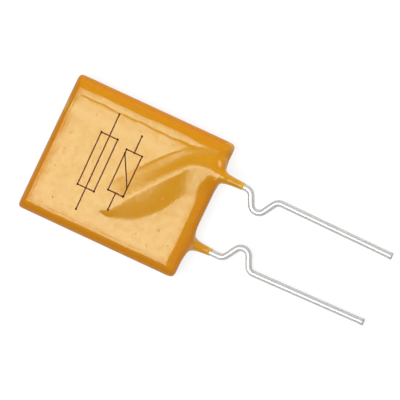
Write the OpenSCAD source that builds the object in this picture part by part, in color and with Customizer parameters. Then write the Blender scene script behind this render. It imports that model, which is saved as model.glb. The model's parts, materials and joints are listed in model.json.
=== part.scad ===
// Radial-leaded polymer resettable fuse: a square of conductive polymer between two foil electrodes,
// a kinked wire lead soldered across each foil, and an epoxy dip coat over everything but the legs.
// The part lies on its back. +Y runs from the lead tips to the top of the body, +Z out of the front face,
// and the front lead is on the +X side. The origin is under the middle of the part, where it rests.

/* [Chip] */
// Width of the polymer chip
chip_w = 9; // [7.5:0.1:12]
// Height of the polymer chip, along the leads
chip_h = 10.7; // [9:0.1:14]
// Thickness of the conductive polymer
core_t = 0.63; // [0.3:0.01:1.2]
// Thickness of each foil electrode
foil_t = 0.035; // [0.018:0.001:0.105]

/* [Leads] */
// Diameter of the tinned wire
wire_d = 0.46; // [0.4:0.01:0.64]
// Distance between the two leads
lead_pitch = 5.08; // [4.4:0.02:5.8]
// How far the pair of leads sits to the right of the chip's middle
lead_shift = 0.17; // [-0.3:0.01:0.3]
// Bare and coated wire between the body's lower edge and the kink
neck_l = 2.4; // [2:0.05:4]
// How far the kink carries the wire sideways
kink_depth = 1.22; // [0.8:0.01:1.5]
// Slope of the kink's slanted stretches
kink_slope = 28.5; // [22:0.5:38]
// Radius of the kink's bends, to the middle of the wire
kink_r = 0.56; // [0.4:0.01:0.7]
// How much the wire's radius swells round a bend
bend_swell = 0.004; // [0.002:0.001:0.01]
// Straight leg below the kink
leg_l = 8.6; // [6:0.1:14]
// Height above the chip's lower edge at which the wire turns across the foil
turn_rise = 1.3; // [1:0.05:2.5]
// Radius of that turn, to the middle of the wire
turn_r = 1.6; // [1:0.05:2]
// Angle of the soldered stretch from level
weld_angle = 38.5; // [30:0.5:45]
// Length of the soldered stretch, from the corner of the turn
weld_l = 7; // [4.5:0.1:7.5]

/* [Set of the wires] */
// Lean of the front leg towards the rear one
front_lean = 0.45; // [-2:0.05:2]
// Lean of the rear leg towards the front one
rear_lean = 1.3; // [-2:0.05:2]
// Turn of both kinks out of square
kink_skew = 4; // [-5:0.5:5]
// How much further out the rear lead sits
rear_slip = 0.12; // [0:0.01:0.4]

/* [Solder] */
// Solder under the wire
bond_t = 0.03; // [0.02:0.005:0.08]
// Width of the solder bead on the foil
bead_w = 1.2; // [0.9:0.05:1.6]
// Height of the solder bead
bead_h = 0.3; // [0.2:0.01:0.36]
// Solder past the cut end of the wire
bead_end = 0.25; // [0.1:0.05:0.4]

/* [Coating] */
// Coating on the chip's edges
edge_coat = 0.5; // [0.35:0.01:0.8]
// Coating on the flat of the foils
face_coat = 0.37; // [0.32:0.01:0.6]
// Coating over the crest of each wire
ridge_coat = 0.2; // [0.12:0.01:0.4]
// Half the width of the swell over each wire
ridge_w = 1.3; // [0.9:0.05:1.8]
// Rounding of the body's edges, seen on edge
edge_r = 0.6; // [0.4:0.01:0.8]
// Rounding of the body's corners, seen from the front
corner_r = 0.45; // [0.3:0.01:1]
// Coating that runs down each wire
collar_l = 1.55; // [1:0.05:1.8]
// Thickness of the collar at its lower end
collar_tip = 0.03; // [0.02:0.005:0.06]
// Thickness of the collar where it leaves the body
collar_neck = 0.12; // [0.08:0.01:0.2]
// Half the width of the collar's foot on the body
foot_w = 0.9; // [0.7:0.05:1.2]
// Half the depth of the collar's foot
foot_h = 0.5; // [0.42:0.01:0.6]
// Distance over which the foot narrows to the neck
foot_l = 0.25; // [0.12:0.01:0.35]
// How far inside the body's edge the foot is at its widest
foot_in = 0.1; // [0:0.01:0.3]

/* [Hidden] */

chip_t = core_t + 2 * foil_t;
wire_r = wire_d / 2;
// Half the size of the body's outline and of its flat thickness
half_w = chip_w / 2 + edge_coat;
half_h = chip_h / 2 + edge_coat;
half_t = chip_t / 2 + face_coat;
// Height of each wire's middle and of the coat's crest, from the middle of the chip
wire_z = chip_t / 2 + bond_t + wire_r;
crest_z = wire_z + wire_r + ridge_coat;
// The kink's sharp corners, before its bends are rounded
nose = kink_depth + kink_r * (1 / sin(kink_slope) - 1);
kink_drop = nose * tan(kink_slope);
// The turn across the foil
turn_y = turn_rise - chip_h / 2;
turn_angle = 90 - weld_angle;
turn_cut = turn_r * tan(turn_angle / 2);
weld_dir = [-cos(weld_angle), sin(weld_angle)];
// How far a straight runs into a bend
bend_lap = 0.02;

// Corners of a lead's centre line, from its tip to its soldered end, seen from its own side of the chip
function lead_path(lean, skew, slip) =
    let (
        line = lead_pitch / 2,
        top = -half_h - neck_l - slip,
        foot = top - 2 * kink_drop,
        sway = leg_l / 2 * tan(lean),
        corner = [line, turn_y]
    )
    [
        [line - sway, foot - leg_l],
        [line + sway, foot],
        [line - nose, top - kink_drop + nose * tan(skew)],
        [line, top],
        corner,
        corner + weld_l * weld_dir
    ];

front_path = lead_path(front_lean, kink_skew, 0);
rear_path = lead_path(rear_lean, -kink_skew, rear_slip);
bend_radii = [0, kink_r, kink_r, kink_r, turn_r, 0];

// The part's middle along Y, which comes to the origin
middle_y = (half_h + min(front_path[0].y, rear_path[0].y)) / 2;

// Direction of a path's stretch, and the turn at one of its corners, anticlockwise positive
function heading(path, i) =
    let (way = path[i + 1] - path[i])
    atan2(way.y, way.x);
function turn_at(path, i) =
    let (change = heading(path, i) - heading(path, i - 1))
    change > 180 ? change - 360 : change < -180 ? change + 360 : change;

// Length that the bend at a corner takes from the stretches beside it
function bend_cut(path, i) =
    i == 0 || i == len(path) - 1 ? 0 : bend_radii[i] * tan(abs(turn_at(path, i)) / 2);
function straight(path, i) = norm(path[i + 1] - path[i]) - bend_cut(path, i) - bend_cut(path, i + 1);

// Wire along a path from its corner i on, starting at the local origin and heading along +X.
// Each straight runs a little way into the bends beside it, which are a hair thicker.
module wire_run(path, i = 0) {
    length = straight(path, i);
    lap_before = i == 0 ? 0 : bend_lap;
    lap_after = i == len(path) - 2 ? 0 : bend_lap;
    translate([-lap_before, 0, 0])
        rotate([0, 90, 0])
            rotate([0, 0, 90])
                cylinder(h = lap_before + length + lap_after, r = wire_r, $fn = 48);
    if (i < len(path) - 2) {
        turn = turn_at(path, i + 1);
        radius = bend_radii[i + 1];
        side = sign(turn);
        translate([length, side * radius, 0]) {
            rotate([0, 0, turn > 0 ? -90 : 90 + turn])
                rotate_extrude(angle = abs(turn), $fn = 96)
                    translate([radius, 0])
                        rotate(turn > 0 ? 180 : 0)
                            circle(r = wire_r + bend_swell, $fn = 48);
            rotate([0, 0, turn]) translate([0, -side * radius, 0]) wire_run(path, i + 1);
        }
    }
}

module wire(path) {
    translate([path[0].x, path[0].y, wire_z])
        rotate([0, 0, heading(path, 0)])
            wire_run(path);
}

// Places a lead's things on the front of the chip, or turned over onto its rear
module front_side() {
    translate([lead_shift, 0, 0]) children();
}
module rear_side() {
    translate([lead_shift, 0, 0]) rotate([0, 180, 0]) children();
}

// Sets the part down with its lowest crest at Z = 0
module laid_down() {
    translate([0, -middle_y, crest_z]) children();
}

module chip_slab(thickness) {
    cube([chip_w, chip_h, thickness], center = true);
}

// Round-backed bead along the soldered stretch, which runs down into the chip
module bead_blank() {
    bead_r = (pow(bead_w / 2, 2) + pow(bead_h, 2)) / (2 * bead_h);
    bead_l = weld_l - turn_cut + bead_end - bead_w / 2;
    translate([lead_pitch / 2, turn_y, chip_t / 2])
        rotate([0, 0, 180 - weld_angle])
            translate([turn_cut, 0, 0])
                intersection() {
                    translate([0, 0, bead_h - bead_r])
                        rotate([0, 90, 0])
                            cylinder(h = bead_l + bead_w / 2, r = bead_r, $fn = 96);
                    translate([0, 0, -chip_t / 2])
                        linear_extrude(height = chip_t / 2 + 2 * bead_h) {
                            translate([0, -bead_w / 2]) square([bead_l, bead_w]);
                            translate([bead_l, 0]) circle(d = bead_w, $fn = 64);
                        }
                }
}

module solder_bead(path) {
    difference() {
        bead_blank();
        chip_slab(chip_t);
        wire(path);
    }
}

// Distance from a point to a straight stretch
function to_stretch(p, a, b) =
    let (along = (p - a) * (b - a) / ((b - a) * (b - a)))
    norm(p - a - max(0, min(1, along)) * (b - a));

// Distance in plan from the middle of the wire under the coat, seen from the lead's own side
function to_wire(p) =
    let (
        corner = [lead_pitch / 2, turn_y],
        low = corner - [0, turn_cut],
        high = corner + turn_cut * weld_dir,
        from_middle = p - low + [turn_r, 0],
        at = atan2(from_middle.y, from_middle.x),
        past_edge = [low.x, -half_h - edge_r]
    )
    min(
        to_stretch(p, past_edge, low),
        to_stretch(p, high, corner + weld_l * weld_dir),
        at > 0 && at < turn_angle ? abs(norm(from_middle) - turn_r) : ridge_w
    );

// How far a point lies inside the body's outline, up to the edge's rounding
function inset(p) =
    let (
        past = [abs(p.x) - half_w + corner_r, abs(p.y) - half_h + corner_r],
        outside = norm([max(past.x, 0), max(past.y, 0)]),
        within = min(max(past.x, past.y), 0)
    )
    min(edge_r, corner_r - outside - within);

// Height of the coat off the chip's middle at a place: a slab with round edges that swells over a wire.
// The same place seen from that wire's own side is own.
function coat_z(p, own) =
    let (
        rounding = sqrt(1 - pow(1 - max(0, inset(p)) / edge_r, 2)),
        nearness = 1 - pow(min(1, to_wire(own) / ridge_w), 2)
    )
    rounding * (half_t + (crest_z - half_t) * pow(nearness, 2));

// Places across the body, close together where its edges are round, with count equal steps over the flat
rim_steps = 4;
flat_step = 0.45;
columns = ceil(2 * (half_w - edge_r) / flat_step);
rows = ceil(2 * (half_h - edge_r) / flat_step);
function across(half, count, first) =
    let (
        rim = [for (i = [first : rim_steps - 1]) half - edge_r * (1 - cos(90 * i / rim_steps))],
        flat = half - edge_r
    )
    concat(
        -rim,
        [for (i = [0 : count]) -flat + 2 * flat * i / count],
        [for (i = [len(rim) - 1 : -1 : 0]) rim[i]]
    );

// Half the body's width at a height, less where its corners round off
function half_at(y) =
    let (past = max(0, abs(y) - half_h + corner_r))
    half_w - corner_r + sqrt(max(0, pow(corner_r, 2) - pow(past, 2)));

// Section of the body at a height: over the front, then back under the rear
function body_ring(y) =
    let (
        xs = across(half_at(y), columns, 0),
        last = len(xs) - 1
    )
    concat(
        [for (x = xs) [x, y, coat_z([x, y], [x - lead_shift, y])]],
        [for (i = [last - 1 : -1 : 1]) let (x = xs[i]) [x, y, -coat_z([x, y], [lead_shift - x, y])]]
    );

// Section of a collar at a distance below the body's edge, round the wire
collar_sides = 24;
function collar_ring(below, line) =
    let (
        spread = exp(-max(0, below + foot_in) / foot_l),
        film = collar_tip + (collar_neck - collar_tip) * (1 - max(0, below) / collar_l),
        neck = wire_r + film,
        wide = neck + (foot_w - neck) * spread,
        deep = neck + (foot_h - neck) * spread,
        z = wire_z + neck - deep
    )
    [
        for (i = [0 : collar_sides - 1])
            let (a = 360 * i / collar_sides)
            [line + wide * cos(a), -half_h - below, z + deep * sin(a)]
    ];

// Skin through a row of rings with equally many points, closed at both ends
module loft(rings) {
    n = len(rings[0]);
    last = len(rings) - 1;
    points = [for (ring = rings) each ring];
    sides = [
        for (r = [0 : last - 1], i = [0 : n - 1])
            let (
                a = r * n + i,
                b = r * n + (i + 1) % n
            )
            each [[a, b + n, b], [a, a + n, b + n]]
    ];
    ends = [
        [for (i = [0 : n - 1]) i],
        [for (i = [n - 1 : -1 : 0]) last * n + i]
    ];
    polyhedron(points, concat(sides, ends));
}

module body_coat() {
    loft([for (y = across(half_h, rows, 1)) body_ring(y)]);
}

module collar() {
    // Shares of the collar's length at which it has a ring
    shares = [0, 0.08, 0.18, 0.3, 0.45, 0.65, 0.85, 1];
    places = concat([-edge_r, -foot_in], collar_l * shares);
    loft([for (below = places) collar_ring(below, lead_pitch / 2)]);
}

module polymer_core() {
    color("dimgray") laid_down() chip_slab(core_t);
}

module front_foil() {
    color("silver")
        laid_down()
            translate([0, 0, (core_t + foil_t) / 2]) chip_slab(foil_t);
}

module rear_foil() {
    color("silver")
        laid_down()
            translate([0, 0, -(core_t + foil_t) / 2]) chip_slab(foil_t);
}

module front_solder() {
    color("darkgray") laid_down() front_side() solder_bead(front_path);
}

module rear_solder() {
    color("darkgray") laid_down() rear_side() solder_bead(rear_path);
}

module front_lead() {
    color("gainsboro") laid_down() front_side() wire(front_path);
}

module rear_lead() {
    color("gainsboro") laid_down() rear_side() wire(rear_path);
}

module coating() {
    color([0.85, 0.58, 0.16])
        laid_down()
            difference() {
                union() {
                    body_coat();
                    front_side() collar();
                    rear_side() collar();
                }
                chip_slab(chip_t);
                front_side() bead_blank();
                rear_side() bead_blank();
                front_side() wire(front_path);
                rear_side() wire(rear_path);
            }
}

polymer_core();
front_foil();
rear_foil();
front_solder();
rear_solder();
front_lead();
rear_lead();
coating();
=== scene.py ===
"""Dresses a radial-leaded resettable fuse: its dip coat, tinned wires, printed mark and a plain studio.

Sizes are in millimetres unless a name says otherwise, and become metres where a mesh is made. The plan of
the part has x across the body and y up it, both from the middle of the chip, and z out of the front face.
"""

import json
import logging
import math
from collections.abc import Mapping, Sequence
from dataclasses import dataclass
from enum import Enum
from typing import Any

import bpy
import numpy as np
from mathutils import Matrix, Vector


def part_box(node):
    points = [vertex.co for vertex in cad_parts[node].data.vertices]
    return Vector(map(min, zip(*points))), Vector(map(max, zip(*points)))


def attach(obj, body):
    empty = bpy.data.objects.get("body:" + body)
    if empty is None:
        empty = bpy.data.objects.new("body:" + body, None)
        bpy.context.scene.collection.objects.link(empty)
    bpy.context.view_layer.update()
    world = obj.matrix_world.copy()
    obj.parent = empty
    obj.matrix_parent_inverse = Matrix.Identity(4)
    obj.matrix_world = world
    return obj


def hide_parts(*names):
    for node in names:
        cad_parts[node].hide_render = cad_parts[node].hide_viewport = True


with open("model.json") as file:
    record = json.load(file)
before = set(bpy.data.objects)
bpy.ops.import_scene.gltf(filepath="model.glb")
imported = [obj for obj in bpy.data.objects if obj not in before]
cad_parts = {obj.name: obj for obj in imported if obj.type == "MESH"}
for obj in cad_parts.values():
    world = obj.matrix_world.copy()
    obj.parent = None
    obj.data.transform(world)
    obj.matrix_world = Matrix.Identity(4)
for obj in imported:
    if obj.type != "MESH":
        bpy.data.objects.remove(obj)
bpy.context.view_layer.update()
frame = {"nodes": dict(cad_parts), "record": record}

MM = 0.001
BODY = "root"
WHITE = (1.0, 1.0, 1.0, 1.0)
# Middle of soft noise, which runs from 0 to 1.
NOISE_MIDDLE = 0.5
LOG = logging.getLogger("resettable_fuse")

Triple = tuple[float, float, float]
Colour = Triple
Array = np.ndarray
Settings = Mapping[str, Any]
Inputs = Mapping[str | int, Any]


class Side(Enum):
    """Face of the chip that a wire is soldered to."""

    FRONT = 1
    REAR = -1


class Flank(Enum):
    """Side of a wire under the coat: in the angle of its turn, or outside it."""

    INNER = 0
    OUTER = 1


class Scatter(Enum):
    """How spots are scattered: over the plan, or all through the coat."""

    PLAN = "2D"
    THROUGH = "3D"


class Ray(Enum):
    """Kinds of ray that see the floor as the white background."""

    CAMERA = "Is Camera Ray"
    GLOSSY = "Is Glossy Ray"
    TRANSMISSION = "Is Transmission Ray"


class Shade:
    """A value that varies over a surface: a shader socket that takes part in Python arithmetic."""

    def __init__(self, bench: "NodeBench", socket: bpy.types.NodeSocket) -> None:
        """Wraps a socket of a bench's node tree."""
        self.bench = bench
        self.socket = socket

    def math(self, operation: str, *others: "Shade | float") -> "Shade":
        """Feeds this value and others to a Math node.

        Args:
            operation: The Math node's operation.
            others: The node's further inputs.

        Returns:
            The node's result.
        """
        inputs = dict(enumerate((self, *others)))
        return self.bench.shade("ShaderNodeMath", {"operation": operation}, inputs)

    def __add__(self, other: "Shade | float") -> "Shade":
        """Sum with another value."""
        return self.math("ADD", other)

    __radd__ = __add__

    def __mul__(self, other: "Shade | float") -> "Shade":
        """Product with another value."""
        return self.math("MULTIPLY", other)

    __rmul__ = __mul__

    def __sub__(self, other: "Shade | float") -> "Shade":
        """Difference from another value."""
        return self.math("SUBTRACT", other)

    def __rsub__(self, other: float) -> "Shade":
        """A number less this value."""
        return self.bench.shade("ShaderNodeMath", {"operation": "SUBTRACT"}, {0: other, 1: self})

    def __truediv__(self, other: "Shade | float") -> "Shade":
        """Quotient by another value."""
        return self.math("DIVIDE", other)

    def __rtruediv__(self, other: float) -> "Shade":
        """A number divided by this value."""
        return self.bench.shade("ShaderNodeMath", {"operation": "DIVIDE"}, {0: other, 1: self})

    def __gt__(self, other: "Shade | float") -> "Shade":
        """1 where this value is the greater, and 0 elsewhere."""
        return self.math("GREATER_THAN", other)

    def __lt__(self, other: "Shade | float") -> "Shade":
        """1 where this value is the lesser, and 0 elsewhere."""
        return self.math("LESS_THAN", other)

    def __abs__(self) -> "Shade":
        """Size of this value."""
        return self.math("ABSOLUTE")

    def clamped(self) -> "Shade":
        """This value, held between 0 and 1."""
        return self.bench.shade("ShaderNodeClamp", {}, {"Value": self})


@dataclass(frozen=True)
class Pattern:
    """Soft noise: the length of its features, and how many octaves of finer noise lie on top."""

    size: float
    detail: float


class NodeBench:
    """Adds nodes to one node tree."""

    # Places of a Mix node's two colour inputs and of its colour output.
    MIX_COLOURS = (6, 7)
    MIX_RESULT = 2

    def __init__(self, tree: bpy.types.NodeTree) -> None:
        """Takes the tree that the nodes go into."""
        self.tree = tree

    def add(self, kind: str, settings: Settings, inputs: Inputs) -> bpy.types.Node:
        """Adds a node.

        Args:
            kind: The node's type.
            settings: Its properties, which are set first.
            inputs: Values or links of its sockets, by name or place.

        Returns:
            The node.
        """
        node = self.tree.nodes.new(kind)
        for name, value in settings.items():
            setattr(node, name, value)
        self.feed(node, inputs)
        return node

    def feed(self, node: bpy.types.Node, inputs: Inputs) -> None:
        """Sets or links a node's sockets.

        Args:
            node: The node.
            inputs: Values or links of its sockets, by name or place.
        """
        for key, value in inputs.items():
            source = value.socket if isinstance(value, Shade) else value
            if isinstance(source, bpy.types.NodeSocket):
                self.tree.links.new(source, node.inputs[key])
            else:
                node.inputs[key].default_value = source

    def shade(self, kind: str, settings: Settings, inputs: Inputs, output: str | int = 0) -> Shade:
        """Adds a node and wraps one of its outputs.

        Args:
            kind: The node's type.
            settings: Its properties.
            inputs: Values or links of its sockets.
            output: The output's name or place.

        Returns:
            The output as a value for arithmetic.
        """
        return Shade(self, self.add(kind, settings, inputs).outputs[output])

    def place(self) -> Shade:
        """Place on the piece, in metres of the part's own frame."""
        return self.shade("ShaderNodeTexCoord", {}, {}, "Object")

    def painted(self, attribute: str) -> Shade:
        """A number that a piece's mesh keeps at each of its corners."""
        return self.shade("ShaderNodeAttribute", {"attribute_name": attribute}, {}, "Fac")

    def axes(self, vector: Shade) -> tuple[Shade, Shade, Shade]:
        """The three numbers of a vector."""
        split = self.add("ShaderNodeSeparateXYZ", {}, {0: vector})
        return tuple(Shade(self, output) for output in split.outputs)

    def stretched(self, vector: Shade, factors: Triple) -> Shade:
        """A vector with each of its numbers multiplied."""
        return self.shade("ShaderNodeVectorMath", {"operation": "MULTIPLY"}, {0: vector, 1: factors})

    def noise(self, at: Shade, pattern: Pattern) -> Shade:
        """Soft noise from 0 to 1.

        Args:
            at: Where it is read, in metres.
            pattern: The noise's features.

        Returns:
            The noise.
        """
        inputs = {"Vector": at, "Scale": 1 / (pattern.size * MM), "Detail": pattern.detail}
        return self.shade("ShaderNodeTexNoise", {}, inputs, "Fac")

    def blended(self, factor: Shade | float, first: Shade | Colour, second: Shade | Colour) -> Shade:
        """A colour between two others.

        Args:
            factor: 0 for the first and 1 for the second.
            first: First colour.
            second: Second colour.

        Returns:
            The mixed colour.
        """
        ends = [c if isinstance(c, Shade) else (*c, 1.0) for c in (first, second)]
        settings = {"data_type": "RGBA", "clamp_factor": True}
        inputs = {0: factor, **dict(zip(self.MIX_COLOURS, ends))}
        return self.shade("ShaderNodeMix", settings, inputs, self.MIX_RESULT)

    def bump(self, height: Shade, depth: float, under: Shade | None = None) -> Shade:
        """A normal that follows a height.

        Args:
            height: The height, from 0 to 1.
            depth: What a height of 1 stands for, in millimetres.
            under: A normal to start from.

        Returns:
            The normal.
        """
        inputs: dict[str | int, Any] = {"Height": height, "Distance": depth * MM, "Strength": 1.0}
        if under is not None:
            inputs["Normal"] = under
        return self.shade("ShaderNodeBump", {}, inputs)


@dataclass(frozen=True)
class Finish:
    """A surface finish, which becomes one material."""

    name: str

    def material(self) -> bpy.types.Material:
        """Makes the finish's material.

        Returns:
            The material.
        """
        made = bpy.data.materials.new(self.name)
        made.use_nodes = True
        made.node_tree.nodes.clear()
        bench = NodeBench(made.node_tree)
        bench.add("ShaderNodeOutputMaterial", {}, {"Surface": self.shader(bench)})
        return made

    def shader(self, bench: NodeBench) -> Shade:
        """The finish's shader."""
        return bench.shade("ShaderNodeBsdfPrincipled", {}, self.surface(bench))

    def surface(self, bench: NodeBench) -> dict[str, Any]:
        """Works out the shader's inputs.

        Args:
            bench: Where the finish's nodes are added.

        Returns:
            Values and links for the sockets of a Principled BSDF.
        """
        raise NotImplementedError


@dataclass(frozen=True)
class Spots:
    """Small round spots, scattered over some of the cells of a pattern."""

    size: float
    spacing: float
    share: float
    scatter: Scatter
    least: float = 0.5

    def cells(self, bench: NodeBench, at: Shade) -> tuple[Shade, Shade, Shade]:
        """Lays the pattern over a piece.

        Args:
            bench: Where the nodes are added.
            at: Place on the piece.

        Returns:
            A number from 0 to 1 of each cell's own, its spot's radius, and the distance from its middle,
            the last two in spacings.
        """
        settings = {"voronoi_dimensions": self.scatter.value}
        inputs = {"Vector": at, "Scale": 1 / (self.spacing * MM)}
        cells = bench.add("ShaderNodeTexVoronoi", settings, inputs)
        lot, spread, _ = bench.axes(Shade(bench, cells.outputs["Color"]))
        radius = (self.least + spread) * (self.size / self.spacing)
        return lot, radius, Shade(bench, cells.outputs["Distance"])


@dataclass(frozen=True)
class EpoxyFinish(Finish):
    """Semi-gloss dipped epoxy, deeper in colour round its rim, with mottle, peel, pits and specks."""

    rim: tuple[float, float]
    middle_y: float
    face_colour: Colour = (0.65, 0.285, 0.009)
    gloss_tint: Colour = (0.9, 1.0, 0.72)
    rim_colour: Colour = (0.645, 0.217, 0.006)
    grain_colour: Colour = (0.4, 0.15, 0.005)
    thin_colour: Colour = (0.72, 0.42, 0.03)
    fleck_colour: Colour = (0.2, 0.07, 0.01)
    rim_width: float = 1.1
    roughness: float = 0.19
    rim_gloss: float = 0.1
    ior: float = 1.8
    clouds: Pattern = Pattern(2.6, 3.0)
    cloud_rough: float = 0.05
    freckles: Pattern = Pattern(0.35, 2.0)
    freckle_rough: float = 0.08
    mottle: float = 0.12
    gloss: Pattern = Pattern(0.4, 3.0)
    gloss_mottle: float = 1.1
    gloss_from: float = 0.375
    gloss_lean: float = 0.12
    peel: Pattern = Pattern(0.3, 1.0)
    peel_depth: float = 0.005
    grain: Pattern = Pattern(0.09, 1.0)
    grain_from: float = 0.4
    grain_share: float = 0.6
    grain_depth: float = 0.0025
    pit_spots: Spots = Spots(size=0.09, spacing=1.1, share=0.35, scatter=Scatter.PLAN)
    pit_depth: float = 0.012
    fleck_spots: Spots = Spots(size=0.06, spacing=1.15, share=0.3, scatter=Scatter.THROUGH)
    fleck_cover: float = 0.7

    def rim_tone(self, bench: NodeBench, at: Shade) -> Shade:
        """Nearness to the body's rim: 0 on the face, and 1 at the rim and on the collars.

        Args:
            bench: Where the nodes are added.
            at: Place on the coat.

        Returns:
            The nearness.
        """
        x, y, _ = bench.axes(at)
        to_side = self.rim[0] - abs(x) / MM
        to_end = self.rim[1] - abs(y / MM - self.middle_y)
        inset = to_side.math("MINIMUM", to_end)
        return (1 - inset / self.rim_width).clamped()

    def flecks(self, bench: NodeBench, at: Shade) -> Shade:
        """Tiny dark specks: 1 on a speck and 0 elsewhere."""
        lot, radius, distance = self.fleck_spots.cells(bench, at)
        return (radius > distance) * (lot < self.fleck_spots.share)

    def pits(self, bench: NodeBench, at: Shade) -> Shade:
        """Small burst bubbles on the face.

        Args:
            bench: Where the nodes are added.
            at: Place on the coat.

        Returns:
            How deep a place is in a pit: 0 at its rim and outside, and 1 in its middle.
        """
        lot, radius, distance = self.pit_spots.cells(bench, at)
        depth = (1 - distance / radius).clamped()
        return depth * (lot > (1 - self.pit_spots.share)) * (1 - self.rim_tone(bench, at))

    def shader(self, bench: NodeBench) -> Shade:
        """Glossy epoxy on the face and over the wires, and duller epoxy round the rim.

        Args:
            bench: Where the finish's nodes are added.

        Returns:
            The shader.
        """
        at = bench.place()
        inputs = self.surface(bench)
        glossy = bench.shade("ShaderNodeBsdfPrincipled", {}, inputs)
        inputs["Specular IOR Level"] = self.rim_gloss
        dull = bench.shade("ShaderNodeBsdfPrincipled", {}, inputs)
        patches = self.gloss_mottle * (bench.noise(at, self.gloss) - self.gloss_from)
        patches = patches + bench.axes(at)[0] * (self.gloss_lean / (self.rim[0] * MM))
        share = ((self.rim_tone(bench, at) + patches) * (1 - bench.painted(DipCoat.THICK))).clamped()
        return bench.shade("ShaderNodeMixShader", {}, {0: share, 1: glossy, 2: dull})

    def surface(self, bench: NodeBench) -> dict[str, Any]:
        """Inputs of the epoxy's shader.

        Args:
            bench: Where the finish's nodes are added.

        Returns:
            Values and links for the sockets of a Principled BSDF.
        """
        at = bench.place()
        rim = self.rim_tone(bench, at) * (1 - bench.painted(DipCoat.THICK))
        clouds = bench.noise(at, self.clouds)
        freckles = bench.noise(at, self.freckles)
        grain = bench.noise(at, self.grain)
        depth = (rim + self.mottle * (clouds + freckles - 2 * NOISE_MIDDLE)).clamped()
        grains = ((grain - self.grain_from) * self.grain_share).clamped()
        colour = bench.blended(depth, self.face_colour, self.rim_colour)
        colour = bench.blended(grains, colour, self.grain_colour)
        colour = bench.blended(bench.painted(DipCoat.THIN), colour, self.thin_colour)
        colour = bench.blended(self.flecks(bench, at) * self.fleck_cover, colour, self.fleck_colour)
        uneven = self.freckle_rough * (freckles - NOISE_MIDDLE) + self.cloud_rough * (clouds - NOISE_MIDDLE)
        pitted = bench.bump(self.pits(bench, at), -self.pit_depth)
        peeled = bench.bump(bench.noise(at, self.peel), self.peel_depth, pitted)
        return {
            "Base Color": colour,
            "Roughness": self.roughness + uneven,
            "Normal": bench.bump(grain, self.grain_depth, peeled),
            "IOR": self.ior,
            "Specular Tint": (*self.gloss_tint, 1.0),
        }


@dataclass(frozen=True)
class TinFinish(Finish):
    """Bright tin plate on drawn wire: lines along it, dull patches, painted dark reflection on the sides, a
    sheared end.
    """

    wire_r: float
    bright: Colour = (0.88, 0.87, 0.85)
    dull: Colour = (0.62, 0.61, 0.6)
    # The side colour is a painted dark reflection on the wire's flanks, where they would mirror a darker
    # floor.
    side: Colour = (0.34, 0.33, 0.325)
    cut: Colour = (0.5, 0.47, 0.45)
    roughness: float = 0.34
    metallic: float = 0.6
    lines: Pattern = Pattern(0.05, 2.0)
    line_stretch: Triple = (1.0, 1.0, 0.03)
    line_depth: float = 0.0008
    line_rough: float = 0.12
    patches: Pattern = Pattern(0.8, 3.0)
    patch_contrast: float = 2.2
    patch_cover: float = 0.5
    patch_rough: float = 0.18
    reflection_from: float = 0.6
    reflection_least: float = 0.6
    cut_length: float = 0.12
    cut_rough: float = 0.2

    def surface(self, bench: NodeBench) -> dict[str, Any]:
        """Inputs of the tin's shader.

        Args:
            bench: Where the finish's nodes are added.

        Returns:
            Values and links for the sockets of a Principled BSDF.
        """
        drawn = bench.shade("ShaderNodeAttribute", {"attribute_name": Wire.DRAWN}, {}, "Vector")
        out, _, along = bench.axes(drawn)
        lines = bench.noise(bench.stretched(drawn, self.line_stretch), self.lines)
        sheared = (1 - along / (self.cut_length * MM)).clamped()
        worn = ((bench.noise(drawn, self.patches) - NOISE_MIDDLE) * self.patch_contrast).clamped()
        # Painted dark reflection: the wire's sides are greyed towards the side colour, more strongly along
        # the drawn lines.
        sideways = ((abs(out) / (self.wire_r * MM) - self.reflection_from) / (1 - self.reflection_from)).clamped()
        painted_side_reflection = sideways * (self.reflection_least + (1 - self.reflection_least) * lines)
        tone = bench.blended(worn * self.patch_cover, self.bright, self.dull)
        tone = bench.blended(painted_side_reflection, tone, self.side)
        uneven = self.patch_rough * worn + self.line_rough * (lines - NOISE_MIDDLE)
        return {
            "Base Color": bench.blended(sheared, tone, self.cut),
            "Metallic": self.metallic,
            "Roughness": self.roughness + uneven + self.cut_rough * sheared,
            "Normal": bench.bump(lines, self.line_depth),
        }


@dataclass(frozen=True)
class InkFinish(Finish):
    """Stamped red-brown ink, a little thinner in places."""

    full: Colour = (0.085, 0.018, 0.012)
    thin: Colour = (0.2, 0.055, 0.022)
    cover: Pattern = Pattern(0.25, 3.0)
    thin_from: float = 0.35
    thin_contrast: float = 1.6
    roughness: float = 0.42
    rough_spread: float = 0.2
    gloss: float = 0.12
    depth: float = 0.003

    def surface(self, bench: NodeBench) -> dict[str, Any]:
        """Inputs of the ink's shader.

        Args:
            bench: Where the finish's nodes are added.

        Returns:
            Values and links for the sockets of a Principled BSDF.
        """
        cover = bench.noise(bench.place(), self.cover)
        thinned = (cover - self.thin_from) * self.thin_contrast
        return {
            "Base Color": bench.blended(thinned, self.full, self.thin),
            "Roughness": self.roughness + self.rough_spread * cover,
            "Specular IOR Level": self.gloss,
            "Normal": bench.bump(cover, self.depth),
        }


@dataclass(frozen=True)
class PolymerFinish(Finish):
    """Carbon-filled polymer: dull black with a moulded grain."""

    dark: Colour = (0.016, 0.016, 0.017)
    pale: Colour = (0.045, 0.044, 0.046)
    filler: Pattern = Pattern(0.12, 4.0)
    roughness: float = 0.6
    rough_spread: float = 0.2
    depth: float = 0.006

    def surface(self, bench: NodeBench) -> dict[str, Any]:
        """Inputs of the polymer's shader.

        Args:
            bench: Where the finish's nodes are added.

        Returns:
            Values and links for the sockets of a Principled BSDF.
        """
        filler = bench.noise(bench.place(), self.filler)
        return {
            "Base Color": bench.blended(filler, self.dark, self.pale),
            "Roughness": self.roughness + self.rough_spread * filler,
            "Normal": bench.bump(filler, self.depth),
        }


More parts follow.
